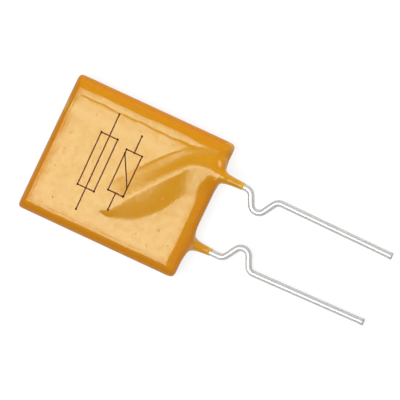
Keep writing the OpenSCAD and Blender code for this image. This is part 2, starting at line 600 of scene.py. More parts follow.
@dataclass(frozen=True)
class MetalFinish(Finish):
    """A satin metal with a grain of its own: rolled foil or frozen solder."""

    bright: Colour
    dull: Colour
    stretch: Triple
    grain: Pattern
    roughness: float
    depth: float
    rough_spread: float = 0.2

    def surface(self, bench: NodeBench) -> dict[str, Any]:
        """Inputs of the metal's shader.

        Args:
            bench: Where the finish's nodes are added.

        Returns:
            Values and links for the sockets of a Principled BSDF.
        """
        grain = bench.noise(bench.stretched(bench.place(), self.stretch), self.grain)
        return {
            "Base Color": bench.blended(grain, self.bright, self.dull),
            "Metallic": 1.0,
            "Roughness": self.roughness + self.rough_spread * (grain - NOISE_MIDDLE),
            "Normal": bench.bump(grain, self.depth),
        }


@dataclass(frozen=True)
class Chip:
    """Place and size of the coated chip, taken from the solids."""

    middle: Array
    half_w: float
    half_h: float
    lower_edge: float
    flat: float
    crest: float
    wire_z: float
    wire_r: float
    face_coat: float = 0.37
    edge_coat: float = 0.5

    @classmethod
    def from_frame(cls) -> "Chip":
        """Measures the chip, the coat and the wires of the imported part.

        Returns:
            The chip.
        """
        core, coat, front, rear, lead = (
            np.array(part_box(name)) / MM
            for name in ("polymer_core", "coating", "front_foil", "rear_foil", "front_lead")
        )
        middle = core.mean(axis=0)
        pins = frame["record"]["mounts"]
        return cls(
            middle=middle,
            half_w=core[1, 0] - middle[0] + cls.edge_coat,
            half_h=core[1, 1] - middle[1] + cls.edge_coat,
            lower_edge=core[0, 1] - middle[1],
            flat=(front[1, 2] - rear[0, 2]) / 2 + cls.face_coat,
            crest=coat[1, 2] - middle[2],
            wire_z=lead[:, 2].mean() - middle[2],
            wire_r=pins[0]["dims"]["r_mm"],
        )

    def to_row(self, points: Array) -> Array:
        """Points of the plan, and their height off the chip's middle, as metres of the part's frame."""
        return (points + self.middle) * MM


def lengths_of(line: Array) -> Array:
    """Distance along a line to each of its points."""
    return np.concatenate([[0], np.cumsum(np.linalg.norm(np.diff(line, axis=0), axis=1))])


def places_on(line: Array, along: Array) -> Array:
    """Places on a line of the plan, at given distances along it."""
    return np.column_stack([np.interp(along, lengths_of(line), line[:, a]) for a in range(2)])


@dataclass(frozen=True)
class LeadRoute:
    """Centre line of one wire, seen from its own side of the chip, with x from midway between the leads."""

    chip: Chip
    side: Side
    lean: float
    skew: float
    slip: float
    # Bends and stretches of the wire, the same for both wires. Slopes and angles are in degrees.
    pitch: float = 5.08
    shift: float = 0.17
    neck: float = 2.4
    kink_depth: float = 1.22
    kink_slope: float = 28.5
    kink_r: float = 0.56
    leg: float = 8.6
    turn_rise: float = 1.3
    turn_r: float = 1.6
    weld_angle: float = 38.5
    weld: float = 7.0
    arc_step: float = 4.0
    # Film on the wire under the coat: its half widths inside and outside the turn, and where they change.
    stem_below: float = 0.6
    pool_w: tuple[float, float] = (1.95, 1.75)
    waist_w: tuple[float, float] = (0.6, 1.75)
    stem_w: tuple[float, float] = (2.3, 1.5)
    end_soft: float = 1.8
    pool_at: float = 3.05
    pool_l: tuple[float, float] = (1.8, 2.1)
    foot_w: float = 0.45
    foot_l: float = 1.2
    stem_at: float = 5.8
    stem_over: float = 0.8
    film_draw: float = 0.22
    film_step: float = 0.08
    film_reach: float = 6.0
    film_samples: int = 200

    def own_x(self, x: Array) -> Array:
        """Places across the plan, seen from the wire's own side."""
        return self.side.value * (x - self.shift)

    def under_turn(self) -> Array:
        """Sharp corner where the wire turns onto the chip."""
        return np.array([self.pitch / 2, self.chip.lower_edge + self.turn_rise])

    def corners(self) -> list[Array]:
        """Sharp corners of the route.

        Returns:
            The corners, from the tip to the soldered end.
        """
        line = self.pitch / 2
        slope = math.radians(self.kink_slope)
        nose = self.kink_depth + self.kink_r * (1 / math.sin(slope) - 1)
        drop = nose * math.tan(slope)
        top = -self.chip.half_h - self.neck - self.slip
        foot = top - 2 * drop
        sway = self.leg / 2 * math.tan(math.radians(self.lean))
        turn = self.under_turn()
        weld = math.radians(self.weld_angle)
        return [
            np.array([line - sway, foot - self.leg]),
            np.array([line + sway, foot]),
            np.array([line - nose, top - drop + nose * math.tan(math.radians(self.skew))]),
            np.array([line, top]),
            turn,
            turn + self.weld * np.array([-math.cos(weld), math.sin(weld)]),
        ]

    def arc(self, before: Array, corner: Array, after: Array, radius: float) -> list[Array]:
        """Points round one bend.

        Args:
            before: Corner before this one.
            corner: The bend's sharp corner.
            after: Corner after this one.
            radius: The bend's radius.

        Returns:
            Points from the start of the bend to its end.
        """
        back = (before - corner) / np.linalg.norm(before - corner)
        on = (after - corner) / np.linalg.norm(after - corner)
        half = math.acos(float(back @ on)) / 2
        centre = corner + (back + on) / np.linalg.norm(back + on) * radius / math.sin(half)
        start = corner + back * radius / math.tan(half) - centre
        turn = math.pi - 2 * half
        turn *= math.copysign(1.0, back[1] * on[0] - back[0] * on[1])
        steps = max(2, math.ceil(abs(math.degrees(turn)) / self.arc_step))
        angles = [turn * i / steps for i in range(steps + 1)]
        cross = np.array([-start[1], start[0]])
        return [centre + start * math.cos(a) + cross * math.sin(a) for a in angles]

    def centre_line(self) -> Array:
        """The route with its bends rounded.

        Returns:
            Points from the tip to the soldered end.
        """
        corners = self.corners()
        radii = [self.kink_r, self.kink_r, self.kink_r, self.turn_r]
        points = [corners[0]]
        for i, radius in enumerate(radii, start=1):
            points += self.arc(corners[i - 1], corners[i], corners[i + 1], radius)
        points.append(corners[-1])
        return np.array(points)

    def in_plan(self) -> Array:
        """The centre line in the plan of the part."""
        line = self.centre_line()
        return np.column_stack([self.shift + self.side.value * line[:, 0], line[:, 1]])

    def exit_x(self) -> float:
        """Where the wire leaves the body, across the plan."""
        return self.shift + self.side.value * self.pitch / 2

    def height(self) -> float:
        """Height of the wire off the chip's middle."""
        return self.side.value * self.chip.wire_z

    def under_coat(self, flank: Flank) -> tuple[Array, Array, Array]:
        """Evenly spaced places on the wire under the coat, seen from its own side, and the film over them.

        The film is wide over the solder, narrow where the wire turns, and has its own width down the stem.

        Args:
            flank: Side of the wire that the width is for.

        Returns:
            The places, the film's half width there, and the wire's hold on it, which fades at the end.
        """
        corners = self.corners()
        stem = np.array([self.under_turn()[0], -self.chip.half_h - self.stem_below])
        line = np.array([stem, *self.arc(*corners[-3:], self.turn_r), corners[-1]])
        length = lengths_of(line)[-1]
        along = np.arange(0, length, self.film_step)
        from_end = length - along
        past = from_end - self.pool_at
        pool = np.exp(-((past / np.where(past < 0, *self.pool_l)) ** 2))
        on_stem = np.clip((from_end - self.stem_at) / self.stem_over, 0, 1)
        waist = self.waist_w[flank.value]
        extra = (self.pool_w[flank.value] - waist) * pool + (self.stem_w[flank.value] - waist) * on_stem
        width = self.foot_w + (waist + extra - self.foot_w) * np.clip(along / self.foot_l, 0, 1)
        return places_on(line, along), width, np.clip(from_end / self.end_soft, 0, 1)

    def film_share(self, x: Array, y: Array, flank: Flank) -> Array:
        """Distance from the wire as a wet film feels it, by the pull of all the wire nearby.

        Beside a long straight wire it is the true distance. It is less inside a turn and more past the end.

        Args:
            x: Places across the plan.
            y: Places up the plan.
            flank: Side of the wire that the film's width is for.

        Returns:
            The distance at each place, in half widths of the film: 1 at the film's edge.
        """
        own = self.own_x(x)
        pull = sum(
            hold * np.exp(-np.hypot(own - u, y - v) / (width * self.film_draw)) / width
            for (u, v), width, hold in zip(*self.under_coat(flank))
        )
        known = np.linspace(0, self.film_reach, self.film_samples)
        along = np.arange(-self.film_reach, self.film_reach, self.film_step)
        straight = np.exp(-np.hypot(known[:, None], along) / self.film_draw).sum(axis=1)
        return np.interp(-np.log(pull), -np.log(straight), known)

    def to_end(self, x: Array, y: Array) -> Array:
        """Distance back from the wire's soldered end.

        Args:
            x: Places across the plan.
            y: Places up the plan.

        Returns:
            The distance, measured along the soldered stretch.
        """
        turn = self.under_turn()
        weld = math.radians(self.weld_angle)
        return self.weld + (self.own_x(x) - turn[0]) * math.cos(weld) - (y - turn[1]) * math.sin(weld)

    def outward(self, x: Array, y: Array) -> Array:
        """Distance out of the angle that the wire turns through under the coat.

        Args:
            x: Places across the plan.
            y: Places up the plan.

        Returns:
            The distance, which is negative inside the angle.
        """
        turn = self.under_turn()
        weld = math.radians(self.weld_angle)
        right = self.own_x(x) - turn[0]
        return np.maximum(right * math.sin(weld) + (y - turn[1]) * math.cos(weld), right)


def smooth_least(first: Array, second: Array, reach: float) -> Array:
    """The lesser of two distances, with a fillet where they meet.

    Args:
        first: First distance.
        second: Second distance.
        reach: Difference at which the fillet ends.

    Returns:
        The blended distance.
    """
    share = np.clip(0.5 + 0.5 * (second - first) / reach, 0, 1)
    return second + (first - second) * share - reach * share * (1 - share)


def net_of(values: Array, axes: Sequence[Array]) -> tuple[Array, Array]:
    """Surface net round the places where a sampled distance is negative.

    Args:
        values: The distance at each point of a grid.
        axes: The grid's places along x, y and z.

    Returns:
        Corners near the zero level, and four-sided faces that look outwards.
    """
    inside = values < 0
    cells = np.array(values.shape) - 1
    index = np.full(cells, -1)
    total = np.zeros((*cells, 3))
    count = np.zeros(cells)
    spans = [slice(0, -1), slice(1, None)]
    for axis in range(3):
        others = [a for a in range(3) if a != axis]
        low = np.take(values, range(cells[axis]), axis)
        high = np.take(values, range(1, cells[axis] + 1), axis)
        crosses = (low < 0) != (high < 0)
        share = np.where(crosses, low / np.where(crosses, low - high, 1), 0)
        for first in range(2):
            for second in range(2):
                part = [slice(None)] * 3
                part[others[0]] = spans[first]
                part[others[1]] = spans[second]
                hit = crosses[tuple(part)]
                count += hit
                total[..., axis] += hit * share[tuple(part)]
                total[..., others[0]] += hit * first
                total[..., others[1]] += hit * second
    active = count > 0
    index[active] = np.arange(active.sum())
    at = np.argwhere(active) + total[active] / count[active][:, None]
    corners = np.column_stack([np.interp(at[:, a], np.arange(len(axes[a])), axes[a]) for a in range(3)])
    faces = []
    for axis in range(3):
        one, two = (axis + 1) % 3, (axis + 2) % 3
        low = np.take(inside, range(cells[axis]), axis)
        high = np.take(inside, range(1, cells[axis] + 1), axis)
        for leaving in (True, False):
            edges = np.argwhere((low != high) & (low == leaving))
            ring = [(0, 0), (1, 0), (1, 1), (0, 1)]
            if not leaving:
                ring.reverse()
            quad = []
            for step_one, step_two in ring:
                cell = edges.copy()
                cell[:, one] += step_one - 1
                cell[:, two] += step_two - 1
                quad.append(index[tuple(cell.T)])
            faces.append(np.column_stack(quad))
    return corners, np.concatenate(faces)


def add_piece(
    name: str,
    corners: Array,
    faces: Sequence[Sequence[int]],
    finish: bpy.types.Material,
) -> bpy.types.Object:
    """Makes a smooth mesh piece that rides on the part.

    Args:
        name: The piece's name.
        corners: Its corners, in metres of the part's frame.
        faces: Its faces, as corner numbers.
        finish: Its material.

    Returns:
        The piece.
    """
    mesh = bpy.data.meshes.new(name)
    mesh.from_pydata(corners.tolist(), [], [list(map(int, face)) for face in faces])
    mesh.validate()
    mesh.polygons.foreach_set("use_smooth", [True] * len(mesh.polygons))
    mesh.materials.append(finish)
    piece = bpy.data.objects.new(name, mesh)
    bpy.context.scene.collection.objects.link(piece)
    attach(piece, BODY)
    LOG.info("%s: %d corners, %d faces", name, len(mesh.vertices), len(mesh.polygons))
    return piece


@dataclass(frozen=True)
class Wander:
    """A gentle irregular curve: a sum of waves, each with its strength, its pace and its start."""

    waves: tuple[Triple, ...]

    def at(self, place: Array) -> Array:
        """The curve's value at each place."""
        return sum(strength * np.sin(pace * place + start) for strength, pace, start in self.waves)


@dataclass
class DipCoat:
    """The epoxy skin: a slab with soft edges that swells over each wire and runs down it as a collar."""

    chip: Chip
    leads: tuple[LeadRoute, LeadRoute]
    # Rounded edges: how far each reaches into the face, how far the coat stands out, and how it wanders.
    edge_right: float = 0.92
    edge_left: float = 0.87
    edge_top: float = 0.56
    edge_bottom: float = 0.88
    thick_right: float = 0.03
    thick_left: float = 0.045
    thick_bottom: float = 0.107
    skew_sides: float = 0.0025
    skew_ends: float = 0.0115
    edge_soft: float = 0.08
    edge_power: float = 1.6
    corner_power: float = 5.0
    edge_wander: float = 0.03
    side_path: Wander = Wander(((1.0, 1.3, 0.5), (0.6, 3.1, 0.0)))
    end_path: Wander = Wander(((1.0, 1.5, 2.0), (0.6, 2.7, 0.0)))
    swell: float = 0.3
    swell_at: float = 1.5
    swell_w: float = 0.75
    # Unevenness of the face: pairs of crossed waves, each pair with its strength.
    wave: float = 0.008
    ripples: tuple[tuple[float, Triple, Triple], ...] = (
        (1.0, (1.7, 0.9, 0.4), (-0.8, 1.1, 1.3)),
        (0.4, (3.1, -2.2, 0.0), (1.9, 2.7, 0.7)),
    )
    # Ridge over a wire: its crest, its inner flank, and its outer flank at some places up the plan.
    crest_r: float = 0.025
    crest_flat: float = 0.17
    crest_taper: float = 2.2
    tent_share: float = 0.6
    late_power: float = 2.1
    flank_turn: float = 0.2
    flank_y: tuple[float, ...] = (-4.6, -3.5, -2.6, -1.2)
    step_at: tuple[float, ...] = (0.42, 0.33, 0.32, 0.36)
    step_w: tuple[float, ...] = (0.2, 0.14, 0.13, 0.2)
    step_share: tuple[float, ...] = (0.47, 0.42, 0.38, 0.08)
    rest_at: tuple[float, ...] = (0.95, 0.86, 0.86, 0.86)
    rest_w: tuple[float, ...] = (0.15, 0.06, 0.06, 0.06)
    rest_share: tuple[float, ...] = (0.106, 0.05, 0.05, 0.05)
    tilt: tuple[float, ...] = (0.49, 0.53, 0.57, 0.87)
    stem_free: float = 0.15
    stem_share: float = 0.3
    stem_fall: float = 0.04
    stem_half: float = 0.35
    stem_into: float = 0.6
    stem_gain: float = 2.0
    ridge_end: float = 0.3
    ridge_fillet: float = 0.1
    # Collars: the film down each wire, and the foot where it joins the body.
    collar_lengths: tuple[float, float] = (1.85, 1.67)
    collar_neck: float = 0.12
    collar_film: float = 0.03
    collar_ragged: float = 0.07
    collar_rag: Wander = Wander(((1.0, 1.0, 0.8), (0.6, 2.0, 2.1), (0.3, 5.0, 0.0)))
    collar_lip: float = 0.08
    collar_bite: float = 12.0
    foot_w: float = 0.95
    foot_h: float = 0.5
    foot_l: float = 0.25
    foot_in: float = 0.05
    foot_root: float = 0.9
    foot_sink: float = 0.9
    fillet: float = 0.35
    crown_sharp: float = 0.9
    web: float = 0.3
    # Beads by the front wire's collar: the middle and the radii of each.
    beads: tuple[tuple[Triple, Triple], ...] = (
        ((3.6, -5.57, 0.5), (0.48, 0.26, 0.3)),
        ((4.6, -5.6, 0.36), (0.36, 0.27, 0.26)),
    )
    bead_fillet: float = 0.12
    # Where the coat looks thick or thin.
    bead_halo: float = 1.7
    thick_fade: float = 0.4
    thick_half: float = 0.65
    thin_length: float = 0.45
    # Tide marks: the groove, its distance from the edges and from the wire, and where it shows.
    mark_depth: float = 0.022
    mark_width: float = 0.13
    mark_wander: float = 0.025
    mark_path: Wander = Wander(((1.0, 1.9, 0.7), (1.0, 4.3, 0.0)))
    mark_right: float = 1.2
    mark_left: float = 0.87
    mark_top: float = 0.65
    mark_film: float = 0.88
    mark_fade: float = 0.15
    mark_soft: float = 0.06
    mark_y: tuple[float, ...] = (-2.8, -2.4, -1.6, -0.4)
    mark_shown: tuple[float, ...] = (0.0, 1.0, 1.0, 0.0)
    # Mesh: the net's spacing and margin, and how its corners settle onto the skin.
    spacing: Triple = (0.07, 0.065, 0.075)
    margin: float = 0.2
    settle_steps: int = 5
    settle_probe: float = 0.004
    settle_most: float = 0.05
    slope_least: float = 0.05
    halvings: int = 18

    THICK = "thick"
    THIN = "thin"

    def edge_share(self, x: Array, y: Array) -> Array:
        """How far a place is into the rounding of the edges.

        Args:
            x: Places across the plan.
            y: Places up the plan.

        Returns:
            0 on the flat, 1 at the outline and more outside.
        """
        up = 1 + self.edge_wander * self.side_path.at(y)
        across = 1 + self.edge_wander * self.end_path.at(x)
        level_x, level_y = x + self.skew_sides * y, y + self.skew_ends * x
        swell = 1 + self.swell * np.exp(-(((x - self.swell_at) / self.swell_w) ** 2))
        right = 1 - (self.chip.half_w + self.thick_right - level_x) / (self.edge_right * up)
        left = 1 - (self.chip.half_w + self.thick_left + level_x) / (self.edge_left * up)
        top = 1 - (self.chip.half_h - level_y) / (self.edge_top * across)
        bottom = 1 - (self.chip.half_h + self.thick_bottom + level_y) / (self.edge_bottom * across * swell)
        sides = np.maximum(0, np.maximum(right, left))
        ends = np.maximum(0, np.maximum(top, bottom))
        sharp = (sides**self.corner_power + ends**self.corner_power) ** (1 / self.corner_power)
        soft = np.hypot(sharp, self.edge_soft) - self.edge_soft
        return soft / (math.hypot(1, self.edge_soft) - self.edge_soft)

    def film_at(self, x: Array, y: Array, lead: LeadRoute) -> tuple[Array, Array]:
        """How the film lies over a wire.

        Args:
            x: Places across the plan.
            y: Places up the plan.
            lead: The wire.

        Returns:
            The distance from the wire in half widths of the film, and the film's height off the middle.
        """
        outer = 0.5 + 0.5 * np.tanh(lead.outward(x, y) / self.flank_turn)
        flat_top = self.crest_flat * np.clip(1 - lead.to_end(x, y) / self.crest_taper, 0, 1)
        inner_film, outer_film = (
            np.maximum(0, lead.film_share(x, y, flank) - flat_top) for flank in (Flank.INNER, Flank.OUTER)
        )
        inner_fall, outer_fall = self.inner_fall(inner_film), self.outer_fall(outer_film, y)
        fall = inner_fall + (outer_fall - inner_fall) * outer
        film = inner_film + (outer_film - inner_film) * outer
        down_stem = np.maximum(0, lead.under_turn()[1] - y) * np.exp(-((film / self.stem_share) ** 2))
        top = self.chip.crest - (self.chip.crest - self.chip.flat) * fall - self.stem_fall * down_stem
        return film, top

    def inner_fall(self, film: Array) -> Array:
        """Share of the wire's height that the film has lost inside the turn.

        Args:
            film: Distance from the wire, in half widths of the film.

        Returns:
            The share: a tent that steepens towards the film's edge.
        """
        tent = np.hypot(film, self.crest_r) - self.crest_r
        late = np.clip(film, 0, 1) ** self.late_power
        return self.tent_share * tent + (1 - self.tent_share) * late

    def outer_fall(self, film: Array, y: Array) -> Array:
        """Share of the wire's height that the film has lost outside the turn.

        Args:
            film: Distance from the wire, in half widths of the film.
            y: Places up the plan.

        Returns:
            The share: a slope with two soft steps, whose shape changes down the wire.
        """
        fall = np.interp(y, self.flank_y, self.tilt) * (np.hypot(film, self.crest_r) - self.crest_r)
        steps = (
            (self.step_at, self.step_w, self.step_share),
            (self.rest_at, self.rest_w, self.rest_share),
        )
        for step in steps:
            at, width, share = (np.interp(y, self.flank_y, values) for values in step)
            fall = fall + share * (np.tanh((film - at) / width) + np.tanh(at / width)) / 2
        return fall

    def tide_mark(self, x: Array, y: Array, film: Array, lead: LeadRoute) -> Array:
        """A faint groove where the wet coat drew back from the edges and from the wire.

        Args:
            x: Places across the plan.
            y: Places up the plan.
            film: Distance from the wire, in half widths of the film.
            lead: The wire on this side of the chip.

        Returns:
            The groove's depth, as a share of its full depth.
        """
        wander = self.mark_wander * self.mark_path.at(y)
        to_right = self.chip.half_w - lead.side.value * x - self.mark_right + wander
        to_left = self.chip.half_w + lead.side.value * x - self.mark_left
        to_top = self.chip.half_h - y - self.skew_ends * x - self.mark_top
        line = np.minimum(np.minimum(to_right, to_left), to_top)
        from_film = film - self.mark_film
        by_edge = np.clip(from_film / self.mark_fade, 0, 1) * np.exp(-((line / self.mark_width) ** 2))
        shown = np.interp(y, self.mark_y, self.mark_shown) * np.clip(line / self.mark_fade, 0, 1)
        outside = np.clip(lead.outward(x, y) / self.flank_turn, 0, 1)
        return np.maximum(by_edge, shown * outside * np.exp(-((from_film / self.mark_soft) ** 2)))

    def waves(self, x: Array, y: Array) -> Array:
        """Gentle unevenness of the cured face.

        Args:
            x: Places across the plan.
            y: Places up the plan, or down it on the rear.

        Returns:
            The unevenness, as a share of the wave's height.
        """
        total = 0.0
        for strength, *pair in self.ripples:
            first, second = (np.sin(pace_x * x + pace_y * y + start) for pace_x, pace_y, start in pair)
            total = total + strength * first * second
        return total

    def front_height(self, x: Array, y: Array) -> Array:
        """Height of the front skin, found by halving.

        Args:
            x: Places across the plan.
            y: Places up the plan.

        Returns:
            The height off the chip's middle.
        """
        low = np.zeros_like(x)
        high = np.full_like(x, 2 * self.chip.crest)
        for _ in range(self.halvings):
            middle = (low + high) / 2
            inside = self.level(x, y, middle) < 0
            low = np.where(inside, middle, low)
            high = np.where(inside, high, middle)
        return (low + high) / 2

    def collar(self, x: Array, y: Array, z: Array, lead: LeadRoute, length: float) -> Array:
        """Distance from the collar round a wire: a foot on the body that thins to a ragged lower end.

        Args:
            x: Places across the plan.
            y: Places up the plan.
            z: Heights off the chip's middle.
            lead: The wire.
            length: How far the collar reaches below the body.

        Returns:
            The distance, which is negative inside the collar.
        """
        across, out = x - lead.exit_x(), lead.side.value * z - self.chip.wire_z
        below = -self.chip.half_h - y
        left = length + self.collar_ragged * self.collar_rag.at(np.arctan2(out, across)) - below
        film = self.collar_film + (self.collar_neck - self.collar_film) * np.clip(left / length, 0, 1)
        film = film - self.collar_bite * np.maximum(0, self.collar_lip - left) ** 2
        neck = np.maximum(self.chip.wire_r + film, self.collar_film)
        spread = np.exp(-np.maximum(0, below + self.foot_in) / self.foot_l)
        wide = neck + (self.foot_w - neck) * spread
        deep = neck + (self.foot_h - neck) * spread
        centre = neck - deep
        sunk = 1 - np.clip(-below / self.foot_root, 0, self.foot_sink)
        wide, deep = wide * sunk, deep * sunk
        skin = (np.hypot(across / wide, (out - centre) / deep) - 1) * np.minimum(wide, deep)
        return np.maximum(skin, np.maximum(-self.collar_lip - left, -below - self.foot_root))

    def level(self, x: Array, y: Array, z: Array) -> Array:
        """Signed distance from the coat's skin, near enough to find where it is zero.

        Args:
            x: Places across the plan.
            y: Places up the plan.
            z: Heights off the chip's middle.

        Returns:
            The distance, which is negative inside the coat.
        """
        edge = self.edge_share(x, y)
        films = [self.film_at(x, y, lead) for lead in self.leads]
        marks = [
            self.mark_depth * self.tide_mark(x, y, share, lead)
            for (share, _), lead in zip(films, self.leads)
        ]
        uneven = [self.wave * self.waves(x, lead.side.value * y) for lead in self.leads]
        flat = self.chip.flat + np.where(z >= 0, uneven[0] - marks[0], uneven[1] - marks[1])
        skin = (np.sqrt(edge**self.edge_power + (z / flat) ** 2) - 1) * flat
        rounding = np.sqrt(1 - np.clip(edge, 0, 1) ** self.edge_power)
        for lead, (share, height), mark in zip(self.leads, films, marks):
            out = lead.side.value * z
            stem = self.on_stem(x, y, lead)
            beside = np.clip((share - self.stem_free) / self.stem_share, 0, 1)
            over = out - (height - mark) * (1 - beside * (1 - rounding))
            under = self.chip.wire_z * np.clip(self.stem_gain * stem, 0, 1) - out
            to_end = (1 - edge) * self.edge_bottom + self.stem_into * stem
            ridge = -smooth_least(-np.maximum(over, under), to_end, self.ridge_end)
            skin = smooth_least(skin, ridge, self.ridge_fillet)
        for middle, radii in self.beads:
            bead = (self.to_bead(x, y, z, middle, radii) - 1) * min(radii)
            skin = smooth_least(skin, bead, self.bead_fillet)
        for lead, length in zip(self.leads, self.collar_lengths):
            over = lead.side.value * z - self.chip.wire_z
            crown = self.on_stem(x, y, lead) * (over > 0)
            reach = self.fillet * (1 - self.crown_sharp * crown)
            reach = reach + self.web * np.clip(-over / self.chip.wire_z, 0, 1)
            skin = smooth_least(skin, self.collar(x, y, z, lead, length), reach)
        return skin

    def to_bead(self, x: Array, y: Array, z: Array, middle: Triple, radii: Triple) -> Array:
        """Distance from the middle of a bead on the front and of its twin on the rear, in its radii."""
        return np.sqrt(sum(((at - m) / r) ** 2 for at, m, r in zip((x, y, np.abs(z)), middle, radii)))

    def thickness(self, x: Array, y: Array, z: Array) -> Array:
        """Where the coat lies thick near the rim.

        Args:
            x: Places across the plan.
            y: Places up the plan.
            z: Heights off the chip's middle.

        Returns:
            1 on the collars, over the stems and in the beads, and 0 elsewhere.
        """
        share = np.clip((-self.chip.half_h - y) / self.thick_fade, 0, 1)
        for lead in self.leads:
            over = np.clip(1 - np.abs(x - lead.exit_x()) / self.thick_half, 0, 1)
            share = np.maximum(share, over * (lead.side.value * z > 0))
        for middle, radii in self.beads:
            share = np.maximum(share, np.clip(self.bead_halo - self.to_bead(x, y, z, middle, radii), 0, 1))
        return share

    def thinness(self, x: Array, y: Array, z: Array) -> Array:
        """Where the coat thins out over a bright wire.

        Args:
            x: Places across the plan.
            y: Places up the plan.
            z: Heights off the chip's middle.

        Returns:
            1 at the collars' tips and 0 elsewhere.
        """
        share = np.zeros_like(x)
        for lead, length in zip(self.leads, self.collar_lengths):
            near = np.hypot(x - lead.exit_x(), z - lead.height()) < self.foot_w
            left = length + self.chip.half_h + y
            share = np.maximum(share, near * np.clip(1 - left / self.thin_length, 0, 1))
        return share

    def on_stem(self, x: Array, y: Array, lead: LeadRoute) -> Array:
        """1 over the wire where it runs down out of the body, and 0 away from it."""
        low = np.clip(-y - self.chip.half_h + 2 * self.edge_bottom, 0, 1)
        return low * np.exp(-(((x - lead.exit_x()) / self.stem_half) ** 2))

    def settled(self, corners: Array) -> Array:
        """Corners drawn onto the zero level.

        Args:
            corners: Corners of the surface net.

        Returns:
            The same corners on the skin.
        """
        probe = self.settle_probe
        for _ in range(self.settle_steps):
            value = self.level(*corners.T)
            slope = np.column_stack([
                self.level(*(corners + probe * way).T) - self.level(*(corners - probe * way).T)
                for way in np.eye(3)
            ]) / (2 * probe)
            move = value / np.maximum((slope**2).sum(axis=1), self.slope_least)
            corners = corners - np.clip(move, -self.settle_most, self.settle_most)[:, None] * slope
        return corners

    def build(self) -> bpy.types.Object:
        """Makes the coat in place of its solid.

        Returns:
            The coat's piece.
        """
        lowest = -self.chip.half_h - max(self.collar_lengths) - self.margin
        low = (-self.chip.half_w, lowest, -self.chip.crest)
        high = (self.chip.half_w, self.chip.half_h, self.chip.crest)
        axes = [np.arange(a - self.margin, b + self.margin, s) for a, b, s in zip(low, high, self.spacing)]
        corners, faces = net_of(self.level(*np.ix_(*axes)), axes)
        corners = self.settled(corners)
        rim = (self.chip.half_w, self.chip.half_h)
        finish = EpoxyFinish("dipped_epoxy", rim, float(self.chip.middle[1]))
        piece = add_piece("dip_coat", self.chip.to_row(corners), faces, finish.material())
        for name, share in ((self.THICK, self.thickness), (self.THIN, self.thinness)):
            painted = piece.data.attributes.new(name, "FLOAT", "POINT")
            painted.data.foreach_set("value", share(*corners.T))
        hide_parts("coating")
        return piece


@dataclass
class Wire:
    """One tinned lead: drawn wire along its route, with a sheared tip."""

    route: LeadRoute
    name: str
    node: str
    finish: bpy.types.Material
    sides: int = 28
    ring_step: float = 0.35
    # Distances from the tip, and the wire's radius there as a share of its own.
    tip_profile: tuple[tuple[float, float], ...] = (
        (0.0, 0.8),
        (0.015, 0.94),
        (0.05, 1.04),
        (0.16, 1.03),
        (0.4, 1.0),
    )
    tip_pinch: float = 0.06
    # Decimals to which two rings count as one.
    same_ring: int = 6

    DRAWN = "drawn"

    def stations(self) -> tuple[Array, Array]:
        """Spaces rings along the wire, closer at its tip and its bends.

        Returns:
            Middles of the rings, and their distance from the tip.
        """
        line = self.route.in_plan()
        lengths = lengths_of(line)
        places = [distance for distance, _ in self.tip_profile]
        for start, end in zip(lengths[:-1], lengths[1:]):
            steps = max(1, math.ceil((end - start) / self.ring_step))
            places += [start + (end - start) * i / steps for i in range(1, steps + 1)]
        along = np.unique(np.round(places, self.same_ring))
        return places_on(line, along), along

    def rings(self) -> tuple[Array, Array]:
        """Works out the wire's skin.

        Returns:
            Corners of the skin, and the drawing pattern's coordinates there, ring by ring.
        """
        middles, along = self.stations()
        way = np.gradient(middles, axis=0)
        way /= np.linalg.norm(way, axis=1)[:, None]
        sideways = np.column_stack([-way[:, 1], way[:, 0]])
        radius = self.route.chip.wire_r * np.interp(along, *np.array(self.tip_profile).T)
        pinch = self.tip_pinch * np.clip(1 - along / self.tip_profile[-1][0], 0, 1)
        corners, pattern = [], []
        for i, middle in enumerate(middles):
            for turn in np.arange(self.sides) * math.tau / self.sides:
                out, up = math.cos(turn), math.sin(turn)
                flat = middle + sideways[i] * out * radius[i] * (1 + pinch[i])
                corners.append((*flat, self.route.height() + up * radius[i] * (1 - pinch[i])))
                pattern.append((out * self.route.chip.wire_r, up * self.route.chip.wire_r, along[i]))
        return np.array(corners), np.array(pattern)

    def build(self) -> bpy.types.Object:
        """Makes the wire in place of its solid.

        Returns:
            The wire's piece.
        """
        corners, pattern = self.rings()
        count = len(corners) // self.sides
        faces: list[list[int]] = []
        for ring in range(count - 1):
            for i in range(self.sides):
                a, b = ring * self.sides + i, ring * self.sides + (i + 1) % self.sides
                faces.append([a, b, b + self.sides, a + self.sides])
        faces.append(list(range(self.sides))[::-1])
        faces.append([(count - 1) * self.sides + i for i in range(self.sides)])
        piece = add_piece(self.name, self.route.chip.to_row(corners), faces, self.finish)
        drawn = piece.data.attributes.new(self.DRAWN, "FLOAT_VECTOR", "POINT")
        drawn.data.foreach_set("vector", (pattern * MM).ravel())
        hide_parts(self.node)
        return piece


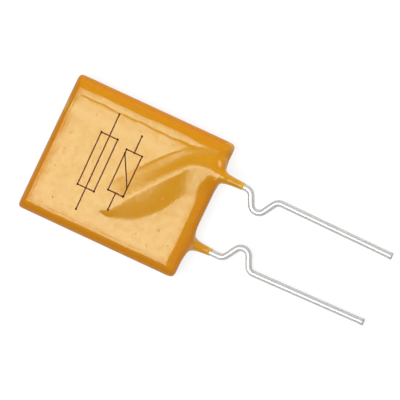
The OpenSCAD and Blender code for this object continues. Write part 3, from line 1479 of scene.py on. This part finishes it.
@dataclass
class PrintedMark:
    """Two plain circuit symbols on the front, a fuse over a thermistor, in strokes with dotted ends."""

    coat: DipCoat
    line_w: float = 0.1
    line_bevel: float = 0.8
    dot_d: float = 0.17
    dot_bevel: float = 0.85
    dot_lift: float = 1.2
    dot_sides: int = 14
    film: float = 0.006
    step: float = 0.06
    fuse_at: tuple[float, float] = (0.05, 2.08)
    fuse_half: tuple[float, float] = (3.55, 0.62)
    thermistor_at: tuple[float, float] = (0.15, 0.05)
    thermistor_half: tuple[float, float] = (2.75, 0.58)
    box_share: float = 0.55
    # The thermistor's slanting stroke, in half widths and half heights of its box.
    slant: tuple[tuple[float, float], ...] = ((-0.95, -1.0), (-0.6, -1.0), (0.8, 1.0))

    def strokes(self) -> list[Array]:
        """Lays out the symbols.

        Returns:
            Their strokes, each a row of corners in the plan.
        """
        made = []
        for at, half in ((self.fuse_at, self.fuse_half), (self.thermistor_at, self.thermistor_half)):
            box_w, box_h = half[0] * self.box_share, half[1]
            box = [(-box_w, -box_h), (box_w, -box_h), (box_w, box_h), (-box_w, box_h), (-box_w, -box_h)]
            made += [np.array(side) + at for side in zip(box[:-1], box[1:])]
            if at is self.fuse_at:
                made.append(np.array([(-half[0], 0), (half[0], 0)]) + at)
            else:
                made.append(np.array([(-half[0], 0), (-box_w, 0)]) + at)
                made.append(np.array([(box_w, 0), (half[0], 0)]) + at)
                made.append(np.array(self.slant) * (box_w, box_h) + at)
        return made

    def build(self) -> bpy.types.Object:
        """Makes the mark on the coat's front.

        Returns:
            The mark's piece.
        """
        corners: list[Array] = []
        faces: list[list[int]] = []
        for stroke in self.strokes():
            for first, second in zip(stroke[:-1], stroke[1:]):
                self.add_line(first, second, corners, faces)
            for end in (stroke[0], stroke[-1]):
                self.add_dot(end, corners, faces)
        plan = np.array(corners)
        height = self.coat.front_height(plan[:, 0], plan[:, 1]) + plan[:, 2]
        points = self.coat.chip.to_row(np.column_stack([plan[:, :2], height]))
        piece = add_piece("printed_mark", points, faces, InkFinish("stamped_ink").material())
        return piece

    def add_line(self, first: Array, second: Array, corners: list[Array], faces: list[list[int]]) -> None:
        """Adds a flat bar of ink between two places.

        Args:
            first: Start of the bar.
            second: End of the bar.
            corners: Where its corners are added, with their height off the coat.
            faces: Where its faces are added.
        """
        way = second - first
        length = float(np.linalg.norm(way))
        sideways = np.array([-way[1], way[0]]) / length * self.line_w / 2
        steps = max(1, math.ceil(length / self.step))
        bevel = self.line_bevel
        section = [(-1, -self.film), (1, -self.film), (bevel, self.film), (-bevel, self.film)]
        base = len(corners)
        for i in range(steps + 1):
            middle = first + way * i / steps
            corners += [np.array([*(middle + sideways * side), lift]) for side, lift in section]
        sides = len(section)
        for i in range(steps):
            for j in range(sides):
                a, b = base + i * sides + j, base + i * sides + (j + 1) % sides
                faces.append([a, a + sides, b + sides, b])
        faces.append([base + j for j in range(sides)])
        faces.append([base + steps * sides + j for j in range(sides)][::-1])

    def add_dot(self, at: Array, corners: list[Array], faces: list[list[int]]) -> None:
        """Adds a round dot of ink.

        Args:
            at: Middle of the dot.
            corners: Where its corners are added, with their height off the coat.
            faces: Where its faces are added.
        """
        count = self.dot_sides
        base = len(corners)
        for scale, lift in ((1.0, -self.film), (self.dot_bevel, self.film * self.dot_lift)):
            for i in range(count):
                turn = math.tau * i / count
                out = np.array([math.cos(turn), math.sin(turn)]) * self.dot_d / 2 * scale
                corners.append(np.array([*(at + out), lift]))
        for i in range(count):
            a, b = base + i, base + (i + 1) % count
            faces.append([a, b, b + count, a + count])
        faces.append([base + i for i in range(count)][::-1])
        faces.append([base + count + i for i in range(count)])


@dataclass
class InnerParts:
    """The chip, its foils and the solder under the coat, which keep their solids."""

    polymer: PolymerFinish = PolymerFinish("carbon_polymer")
    foil: MetalFinish = MetalFinish(
        "rolled_foil",
        bright=(0.66, 0.63, 0.58),
        dull=(0.5, 0.47, 0.43),
        stretch=(0.08, 1.0, 1.0),
        grain=Pattern(0.06, 3.0),
        roughness=0.35,
        depth=0.002,
    )
    solder: MetalFinish = MetalFinish(
        "frozen_solder",
        bright=(0.72, 0.72, 0.73),
        dull=(0.52, 0.52, 0.53),
        stretch=(1.0, 1.0, 1.0),
        grain=Pattern(0.2, 3.0),
        roughness=0.32,
        depth=0.008,
    )

    def dress(self) -> None:
        """Gives each inner solid its finish."""
        for finish, names in (
            (self.polymer, ("polymer_core",)),
            (self.foil, ("front_foil", "rear_foil")),
            (self.solder, ("front_solder", "rear_solder")),
        ):
            made = finish.material()
            for name in names:
                mesh = frame["nodes"][name].data
                mesh.materials.clear()
                mesh.materials.append(made)
                LOG.info("%s: %s", name, finish.name)


@dataclass(frozen=True)
class Softbox:
    """A flat lamp of even brightness, in metres, that faces the part."""

    name: str
    place: Triple
    size: tuple[float, float]
    radiance: float
    mirrored: bool = True

    def build(self, aim: Vector) -> None:
        """Hangs the lamp, with its sides square to the part.

        Args:
            aim: Place that it faces, in metres.
        """
        lamp = bpy.data.lights.new(self.name, "AREA")
        lamp.shape = "RECTANGLE"
        lamp.size, lamp.size_y = self.size
        lamp.energy = self.radiance * math.pi * self.size[0] * self.size[1]
        hung = bpy.data.objects.new(self.name, lamp)
        bpy.context.scene.collection.objects.link(hung)
        back = (Vector(self.place) - aim).normalized()
        across = Vector((0.0, 1.0, 0.0)).cross(back).normalized()
        turn = Matrix((across, back.cross(across), back)).transposed()
        hung.matrix_world = Matrix.Translation(self.place) @ turn.to_4x4()
        hung.visible_camera = False
        hung.visible_glossy = self.mirrored
        LOG.info("%s: radiance %.2f", self.name, self.radiance)


@dataclass
class Studio:
    """Floor, soft light and the camera that looks down on the part."""

    chip: Chip
    floor_r: float = 2.0
    floor_sides: int = 96
    floor_tone: float = 0.25
    floor_glow: float = 0.8
    room_light: float = 0.12
    lamps: tuple[Softbox, ...] = (
        Softbox("key_softbox", (-0.074, 0.111, 0.3), (0.25, 0.27), 4.2),
        Softbox("right_fill", (0.36, 0.0, 0.1), (0.25, 0.3), 4.4, mirrored=False),
        Softbox("low_fill", (0.0, -0.32, 0.16), (0.3, 0.25), 2.2, mirrored=False),
    )
    lens: float = 290.0
    sensor: float = 36.0
    clip: tuple[float, float] = (0.01, 10.0)
    distance: float = 220.0
    lean_right: float = 3.0
    lean_down: float = 4.0
    roll: float = 24.875
    aim: tuple[float, float] = (0.606, 1.236)

    def floor(self) -> None:
        """Lays a round floor that reads as the white background and keeps the part's shadow."""
        turns = [math.tau * i / self.floor_sides for i in range(self.floor_sides)]
        rim = [(self.floor_r * math.cos(t), self.floor_r * math.sin(t), 0) for t in turns]
        mesh = bpy.data.meshes.new("floor")
        mesh.from_pydata(rim, [], [range(self.floor_sides)])
        laid = bpy.data.objects.new("floor", mesh)
        bpy.context.scene.collection.objects.link(laid)
        made = bpy.data.materials.new("white_floor")
        made.use_nodes = True
        bench = NodeBench(made.node_tree)
        path = bench.add("ShaderNodeLightPath", {}, {})
        seen, *others = (Shade(bench, path.outputs[ray.value]) for ray in Ray)
        for other in others:
            seen = seen.math("MAXIMUM", other)
        diffuse = bench.shade("ShaderNodeBsdfDiffuse", {}, {"Color": (*[self.floor_tone] * 3, 1.0)})
        glow = bench.shade("ShaderNodeEmission", {}, {"Color": WHITE, "Strength": seen * self.floor_glow})
        both = bench.shade("ShaderNodeAddShader", {}, {0: diffuse, 1: glow})
        bench.feed(made.node_tree.nodes["Material Output"], {"Surface": both})
        mesh.materials.append(made)

    def sky(self) -> None:
        """Surrounds the part with even soft light."""
        world = bpy.data.worlds.new("soft_room")
        bpy.context.scene.world = world
        world.use_nodes = True
        bench = NodeBench(world.node_tree)
        bench.feed(world.node_tree.nodes["Background"], {"Color": WHITE, "Strength": self.room_light})

    def camera(self) -> None:
        """Sets the camera over the part, leaning to the lead side and the right, and rolled as it lies."""
        tilt = [math.tan(math.radians(a)) for a in (self.lean_right, -self.lean_down)]
        back = Vector((*tilt, 1.0)).normalized()
        roll = math.radians(self.roll)
        up = Vector((math.cos(roll), math.sin(roll), 0.0))
        up = (up - back * up.dot(back)).normalized()
        right = up.cross(back)
        lens = bpy.data.cameras.new("camera")
        lens.lens = self.lens
        lens.sensor_width = self.sensor
        lens.clip_start, lens.clip_end = self.clip
        eye = bpy.data.objects.new("camera", lens)
        bpy.context.scene.collection.objects.link(eye)
        target = Vector((*self.aim, self.chip.middle[2])) * MM
        turn = Matrix((right, up, back)).transposed()
        eye.matrix_world = Matrix.Translation(target + back * self.distance * MM) @ turn.to_4x4()
        bpy.context.scene.camera = eye

    def build(self) -> None:
        """Makes the whole studio."""
        bpy.context.scene.view_settings.view_transform = "Standard"
        self.floor()
        self.sky()
        for lamp in self.lamps:
            lamp.build(Vector((0.0, self.chip.middle[1] * MM, 0.0)))
        self.camera()


def main() -> None:
    """Builds the part's pieces in order and reports them."""
    logging.basicConfig(level=logging.INFO, format="%(name)s: %(message)s")
    chip = Chip.from_frame()
    front = LeadRoute(chip, Side.FRONT, lean=0.45, skew=4.0, slip=0.0)
    rear = LeadRoute(chip, Side.REAR, lean=1.3, skew=-4.0, slip=0.12)
    coat = DipCoat(chip, (front, rear))
    coat.build()
    tin = TinFinish("bright_tin", chip.wire_r).material()
    Wire(front, "front_wire", "front_lead", tin).build()
    Wire(rear, "rear_wire", "rear_lead", tin).build()
    PrintedMark(coat).build()
    InnerParts().dress()
    Studio(chip).build()


if __name__ == "__main__":
    main()
